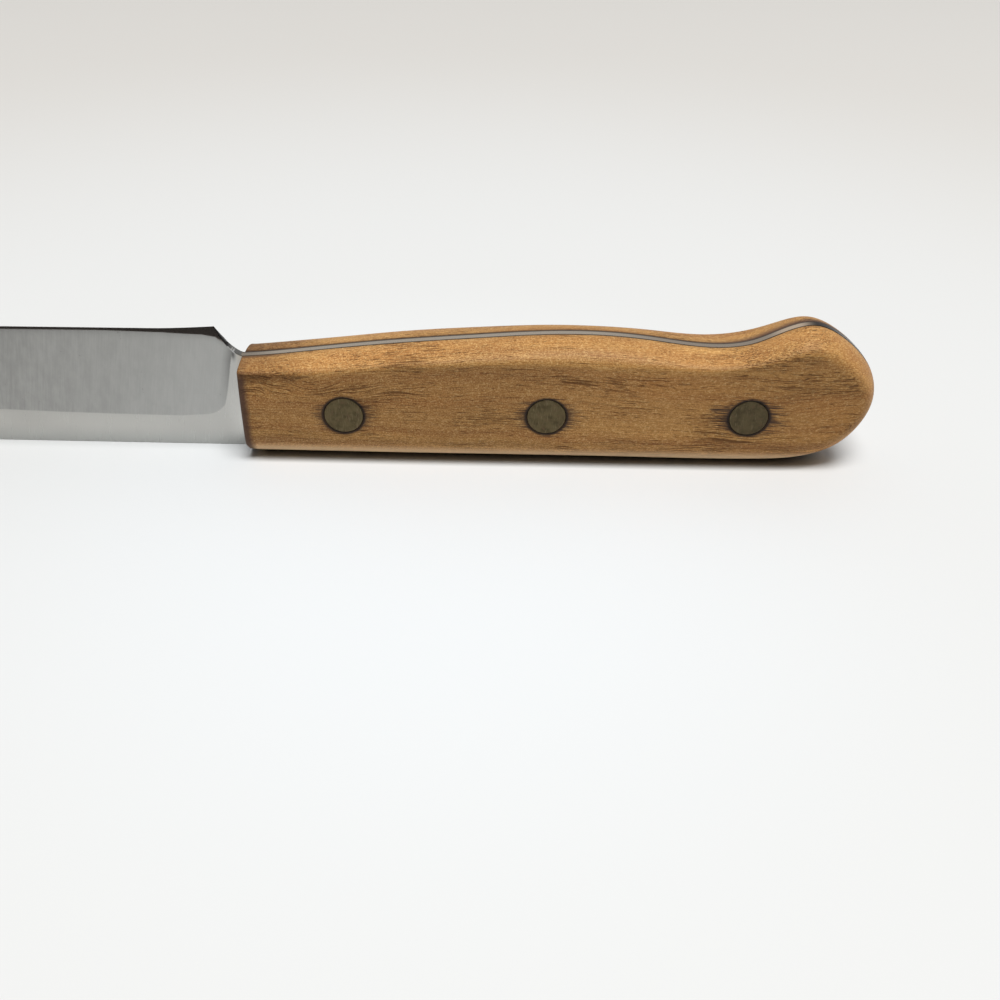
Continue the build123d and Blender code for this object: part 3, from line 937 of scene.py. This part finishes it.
def wood_finish():
    """Oiled open-pored hardwood with its grain along X."""
    w = Finish("oiled_wood")
    grain, curl = grain_space(w)
    end_grain = w.attribute("end_grain")
    color, fibres, speckle = board_color(w, grain)
    pores = pore_marks(w, grain, curl, end_grain)
    color = w.mix(w.math("MULTIPLY", pores, 0.80), color, (0.13, 0.052, 0.018))
    # Painted light: the foot is painted lighter, as the white table would light it from below.
    color = w.mix(w.ramp(w.z, 5.0, 1.6, 0.0, 0.9), color, (1.0, 0.74, 0.46))
    color = painted_shade_on_wood(w, grimy(w, stained(w, color, grain), end_grain))
    uneven = w.noise(w.place, (0.16, 0.22, 0.22), detail=2)
    height = w.math("ADD", w.math("MULTIPLY", pores, -0.55), w.math("MULTIPLY", fibres, 0.35))
    height = w.math("ADD", height, w.math("MULTIPLY", uneven, 1.6))
    height = w.math("ADD", height, w.math("MULTIPLY", speckle, 0.22))
    roughness = w.ramp(w.math("ADD", w.math("MULTIPLY", speckle, 0.5), pores), 0.1, 1.2, 0.46, 0.78)
    return w.finish(color, roughness, height, RELIEF_DEPTH, specular=0.15)


wood = wood_finish()

# %% [markdown]
# The steel's flats still show the rolled sheet, light and smooth. The grinder left fine lines across
# the blade, so that part is darker and duller. Towards the handle it is painted brighter, a painted
# reflection. The flat carries painted light low near the handle, a painted warm reflection of the
# wood beside the scale and a painted dark reflection along the back.
# %% Colour of the steel
LINES_LEAN = 0.2


def sheet_color(s, ground):
    """Colour of the rolled flat and of the ground part, and the grinder's fine lines for the relief."""
    leaning_x = s.math("SUBTRACT", s.x, s.math("MULTIPLY", s.z, LINES_LEAN))
    across = s.add("ShaderNodeCombineXYZ", {0: leaning_x, 1: s.y, 2: s.z}).outputs[0]
    broad = s.noise(across, (0.35, 0.3, 0.03), detail=3, roughness=0.6)
    fine = s.noise(across, (4.0, 3.0, 0.11), detail=3, roughness=0.65)
    cloud = s.noise(s.place, (0.03, 0.1, 0.09), detail=2)
    patchy = s.noise(s.place, (0.5, 0.5, 0.28), detail=3, roughness=0.65)
    lines = s.math("ADD", s.math("MULTIPLY", broad, 0.2), s.math("MULTIPLY", fine, 0.45))
    lines = s.math("ADD", lines, s.math("MULTIPLY", patchy, 0.35))
    ground_color = s.mix(s.ramp(lines, 0.35, 0.65), (0.305, 0.302, 0.292), (0.400, 0.396, 0.382))
    # Painted reflection: the ground part is painted brighter towards the handle.
    painted_reflection_to_handle = s.ramp(s.x, -118, -66, 0.0, 0.6, smooth=False)
    ground_color = s.mix(painted_reflection_to_handle, ground_color, (0.50, 0.495, 0.475))
    flat_color = s.mix(s.ramp(cloud, 0.3, 0.7), (0.465, 0.455, 0.432), (0.515, 0.505, 0.478))
    # Painted light: the flat is painted lighter low down near the handle.
    painted_light_on_ricasso = s.math("MULTIPLY", s.ramp(s.x, -68, -63, 0.0, 0.45), s.ramp(s.z, 15, 6))
    flat_color = s.mix(painted_light_on_ricasso, flat_color, (0.74, 0.725, 0.69))
    # Painted reflection: a darker bluish colour along the back, next to the table.
    painted_dark_reflection_by_back = s.ramp(s.z, 4.5, 0.3, 0.0, 0.45)
    flat_color = s.mix(painted_dark_reflection_by_back, flat_color, (0.33, 0.345, 0.34))
    # Painted reflection: a warm brown on the flat beside the scale's front, the wood mirrored in the steel.
    painted_wood_reflection = s.math("MULTIPLY", s.ramp(s.x, -64.0, -62.3, 0.0, 0.45), s.ramp(s.z, 8, 16))
    flat_color = s.mix(painted_wood_reflection, flat_color, (0.42, 0.33, 0.22))
    return s.mix(ground, flat_color, ground_color), fine

# %% [markdown]
# The tang's edge between the scales has greyed with use. On the hook it carries a painted highlight.
# Along both joints grime has gathered and darkens it; it is also dark at the butt and darker near the front.
# %% Colour of the tang's edge
def tang_edge_wear_and_glint(s):
    """Colour of the tang's edge: first along the handle, then across its thickness."""
    color = s.mix(s.ramp(s.x, 8, 28), (0.73, 0.64, 0.53), (0.56, 0.47, 0.38))
    # Painted highlight: the edge is painted near white on the hook.
    color = s.mix(s.ramp(s.x, 44, 48), color, (0.98, 0.78, 0.59))
    color = s.mix(s.ramp(s.x, 50, 54), color, (0.05, 0.04, 0.035))
    near_front = s.ramp(s.x, HANDLE_FRONT + 8, HANDLE_FRONT + 0.5, 0.0, 0.40)
    color = s.mix(near_front, color, (0.10, 0.065, 0.045))
    color = s.mix(s.ramp(s.y, 0.35, 0.60, 0.0, 0.85), color, (0.060, 0.045, 0.035))
    return s.mix(s.ramp(s.y, -0.70, -0.86, 0.0, 0.6), color, (0.10, 0.07, 0.05))

# %% [markdown]
# The bevel is bare polished steel that mirrors what is around it, so it gets little roughness and no
# relief, and its colour is painted dark, a painted dark reflection. The grinder's lines are a shallow
# relief on the rest. The marks on the mesh say where each finish ends and where shade is painted.
# %% Finish of the steel
GRINDING_DEPTH = 0.004


def steel_look():
    """Satin steel with a rolled flat, a cross-ground part and a polished bevel."""
    s = Finish("satin_steel")
    ground, bevel = s.attribute("ground"), s.attribute("bevel")
    color, fine = sheet_color(s, ground)
    # Painted shade and painted dark reflection on the ground part, from the marks above.
    color = s.mix(s.math("MULTIPLY", s.attribute("painted_shade_on_grind"), 0.75), color, (0.10, 0.098, 0.094))
    # Painted dark reflection: the bevel's colour is far darker than the rest of the steel.
    color = s.mix(bevel, color, (0.17, 0.145, 0.13))
    color = s.mix(s.attribute("tang_edge"), color, tang_edge_wear_and_glint(s))
    choil_color = s.mix(s.ramp(s.x, BEVEL_END, -64.4), (0.035, 0.033, 0.032), (0.26, 0.255, 0.24))
    color = s.mix(s.attribute("choil"), color, choil_color)
    # The nick is real; its near white colour is a painted highlight, the glint of the chipped edge.
    color = s.mix(s.attribute("nick"), color, (0.95, 0.94, 0.92))
    specks = s.noise(s.place, (1.1, 1.1, 1.1), detail=2, roughness=0.7)
    color = s.mix(s.ramp(specks, 0.70, 0.78, 0.0, 0.35), color, (0.12, 0.115, 0.11))
    scattered = s.math("ADD", s.ramp(ground, 0, 1, 0.27, 0.36), s.ramp(fine, 0.3, 0.7, 0.0, 0.06))
    unpolished = s.math("SUBTRACT", 1.0, bevel)
    roughness = s.math("ADD", s.math("MULTIPLY", scattered, unpolished), s.math("MULTIPLY", bevel, 0.26))
    height = s.math("MULTIPLY", s.math("MULTIPLY", fine, s.ramp(ground, 0, 1, 0.3, 1.0)), unpolished)
    return s.finish(color, roughness, height, GRINDING_DEPTH, specular=0.5, metallic=1.0)


steel_finish = steel_look()

# %% [markdown]
# The rivets are brass that has turned a dull olive brown. Faint upright scratches cross them from the
# belt that ground them flush, and the rear rivet has gone darker than the other two.
# %% Brass
SCRATCH_DEPTH = 0.006


def brass_look():
    """Tarnished brass with faint upright scratches."""
    b = Finish("tarnished_brass")
    blotches = b.noise(b.place, (0.5, 0.5, 0.5), detail=3, roughness=0.6)
    scratches = b.noise(b.place, (7.0, 2.0, 0.7), detail=2, roughness=0.6)
    color = b.mix(b.ramp(blotches, 0.3, 0.7), (0.070, 0.052, 0.022), (0.150, 0.115, 0.056))
    rust_brown = b.noise(b.place, (0.9, 0.9, 0.9), detail=3, roughness=0.7)
    color = b.mix(b.ramp(rust_brown, 0.52, 0.70, 0.0, 0.55), color, (0.150, 0.088, 0.052))
    color = b.mix(b.ramp(scratches, 0.55, 0.72, 0.0, 0.50), color, (0.27, 0.22, 0.13))
    color = b.mix(b.ramp(b.x, 5, 35, 0.0, 0.24), color, (0.030, 0.024, 0.016))
    roughness = b.ramp(blotches, 0.3, 0.7, 0.42, 0.6)
    return b.finish(color, roughness, scratches, SCRATCH_DEPTH, specular=0.4, metallic=0.75)


brass = brass_look()

# %% [markdown]
# Every piece gets its finish and is tied to the imported model: it rides on the knife's one body and
# takes the place of the plain solid it was made for.
# %% Pieces of the imported model
steel.data.materials.append(steel_finish)
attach(steel, "root")
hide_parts("blade_with_tang")
for scale, node in ((right_scale, "right_scale"), (left_scale, "left_scale")):
    scale.data.materials.append(wood)
    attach(scale, "root")
    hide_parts(node)
for node, rivet in rivets.items():
    rivet.data.materials.append(brass)
    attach(rivet, "root")
    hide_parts(node)
print("finished pieces:", 3 + len(rivets))

# %% [markdown]
# The camera stands close above the handle and looks down at it, so the handle fills the picture and
# most of the blade runs out of it on the left. Its angles were fitted to the three round rivets.
# %% Camera
FRAME_PIXELS = 1000
SENSOR_MM = 36.0
FOCAL_PIXELS = 1065.4
CAMERA_PLACE = (-0.01218, -0.19442, 0.12556)
CAMERA_PITCH = 35.70
CAMERA_ROLL = 1.634
CAMERA_YAW = 0.976


def turn(degrees, axis):
    """Rotation about one axis."""
    return Matrix.Rotation(radians(degrees), 4, axis)


camera_data = bpy.data.cameras.new("camera")
camera_data.sensor_width = SENSOR_MM
camera_data.lens = SENSOR_MM * FOCAL_PIXELS / FRAME_PIXELS
camera_data.clip_start = 0.01
camera = bpy.data.objects.new("camera", camera_data)
bpy.context.scene.collection.objects.link(camera)
look = turn(-CAMERA_YAW, "Z") @ turn(90 - CAMERA_PITCH, "X") @ turn(CAMERA_ROLL, "Z")
camera.matrix_world = Matrix.Translation(CAMERA_PLACE) @ look
bpy.context.scene.camera = camera
bpy.context.scene.view_settings.view_transform = "Standard"
print("lens of the camera in mm:", round(camera_data.lens, 2))

# %% [markdown]
# The knife stands on a white table that ends just in front of the picture, so that the sharpening
# bevel has something dark to mirror. The table is only a stage and isn't part of the knife.
# %% Table
TABLE_BACK = 1.6
TABLE_FRONT = -0.17
TABLE_SIDE = 1.2
table_mesh = bpy.data.meshes.new("table")
table_mesh.from_pydata([(-TABLE_SIDE, TABLE_FRONT, 0), (TABLE_SIDE, TABLE_FRONT, 0),
                        (TABLE_SIDE, TABLE_BACK, 0), (-TABLE_SIDE, TABLE_BACK, 0)], [], [(0, 1, 2, 3)])
table = bpy.data.objects.new("table", table_mesh)
bpy.context.scene.collection.objects.link(table)
print("table in metres:", 2 * TABLE_SIDE, "by", TABLE_BACK - TABLE_FRONT)

# %% [markdown]
# The paint has a painted pool of light: lighter and a little bluer near the knife, darker and warmer
# far away. Under the handle it carries a painted contact shadow, and less of one beside the blade: a
# short ambient occlusion darkens the paint's colour there. The camera and the steel see this paint.
# Light that bounces off the table meets a plain darker grey instead, so that the white table doesn't
# light up the shaded side of the handle.
# %% Paint of the table
BOUNCE_GREY = (0.65, 0.65, 0.65, 1)
LIGHT_POOL_CENTRE = (-0.02, -0.025, 0.0)
LIGHT_POOL_STOPS = [(0.02, (0.812, 0.835, 0.845, 1)), (0.12, (0.772, 0.776, 0.765, 1)),
               (0.40, (0.70, 0.68, 0.645, 1))]
CONTACT_REACH = 0.003
CONTACT_BY_BLADE = 0.35

paint = bpy.data.materials.new("white_table")
paint.use_nodes = True
tree = paint.node_tree
shader = tree.nodes["Principled BSDF"]
shader.inputs["Roughness"].default_value = 0.6
shader.inputs["Specular IOR Level"].default_value = 0.2
place = add_node(tree, "ShaderNodeTexCoord").outputs["Object"]
# Painted pool of light: the colour ramp makes the paint lighter near the knife and darker far away.
from_knife = add_node(tree, "ShaderNodeVectorMath", {0: place, 1: LIGHT_POOL_CENTRE}, operation="DISTANCE")
light_pool = add_node(tree, "ShaderNodeValToRGB", {0: from_knife.outputs["Value"]})
light_pool.color_ramp.interpolation = "EASE"
light_pool.color_ramp.elements[1].position = LIGHT_POOL_STOPS[-1][0]
light_pool.color_ramp.elements[0].position = LIGHT_POOL_STOPS[0][0]
light_pool.color_ramp.elements.new(LIGHT_POOL_STOPS[1][0])
for stop, (_, color) in zip(light_pool.color_ramp.elements, LIGHT_POOL_STOPS):
    stop.color = color
light_pool_color = light_pool.outputs["Color"]
# Painted contact shadow: ambient occlusion darkens the paint under the handle, less beside the blade.
contact = add_node(tree, "ShaderNodeAmbientOcclusion", {"Distance": CONTACT_REACH, "Color": light_pool_color})
x_place = add_node(tree, "ShaderNodeSeparateXYZ", {0: place}).outputs["X"]
under_handle = add_node(tree, "ShaderNodeMapRange", {"Value": x_place, "From Min": -0.062,
                        "From Max": -0.058, "To Min": CONTACT_BY_BLADE}, interpolation_type="SMOOTHSTEP")
painted_contact_shadow = add_node(tree, "ShaderNodeMix", {0: under_handle.outputs[0], 6: light_pool_color,
                                         7: contact.outputs["Color"]}, data_type="RGBA")
rays = add_node(tree, "ShaderNodeLightPath").outputs
seen = add_node(tree, "ShaderNodeMath", {0: rays["Is Camera Ray"], 1: rays["Is Glossy Ray"]},
                operation="MAXIMUM")
white = add_node(tree, "ShaderNodeMix", {0: seen.outputs[0], 6: BOUNCE_GREY, 7: painted_contact_shadow.outputs[2]},
                 data_type="RGBA")
tree.links.new(white.outputs[2], shader.inputs["Base Color"])
table_mesh.materials.append(paint)
print(paint.name, "has", len(tree.nodes), "nodes")

# %% [markdown]
# The surroundings are dark in front of the knife and lighter behind it, which gives the wood's side
# its depth. The camera sees an even pale wall instead.
# %% Surroundings
FRONT_SKY = 0.05
BACK_SKY = 0.45
WALL = (0.86, 0.86, 0.85, 1)
world = bpy.data.worlds.new("studio")
bpy.context.scene.world = world
world.use_nodes = True
tree = world.node_tree
direction = add_node(tree, "ShaderNodeTexCoord").outputs["Generated"]
to_back = add_node(tree, "ShaderNodeSeparateXYZ", {0: direction}).outputs["Y"]
sky = add_node(tree, "ShaderNodeMapRange", {"Value": to_back, "From Min": -0.5, "From Max": 0.6,
               "To Min": FRONT_SKY, "To Max": BACK_SKY}, interpolation_type="SMOOTHSTEP")
by_camera = add_node(tree, "ShaderNodeLightPath").outputs["Is Camera Ray"]
surround = add_node(tree, "ShaderNodeMix", {0: by_camera, 6: sky.outputs[0], 7: WALL}, data_type="RGBA")
tree.links.new(surround.outputs[2], tree.nodes["Background"].inputs["Color"])
print("light from the surroundings, front and back:", FRONT_SKY, BACK_SKY)

# %% [markdown]
# One large soft lamp hangs high above and a little in front of the knife. So the rounded top is much
# brighter than the side, and the shadow stays close under the handle.
# %% Lamp
LAMP_PLACE = Vector((0.3, -0.72, 3.0))
LAMP_WATTS = 98
lamp_data = bpy.data.lights.new("softbox", "AREA")
lamp_data.shape = "RECTANGLE"
lamp_data.size = 1.9
lamp_data.size_y = 1.0
lamp_data.energy = LAMP_WATTS
lamp = bpy.data.objects.new("softbox", lamp_data)
bpy.context.scene.collection.objects.link(lamp)
lamp.matrix_world = Matrix.Translation(LAMP_PLACE) @ LAMP_PLACE.to_track_quat("Z", "Y").to_matrix().to_4x4()
print("distance of the lamp in metres:", round(LAMP_PLACE.length, 2))
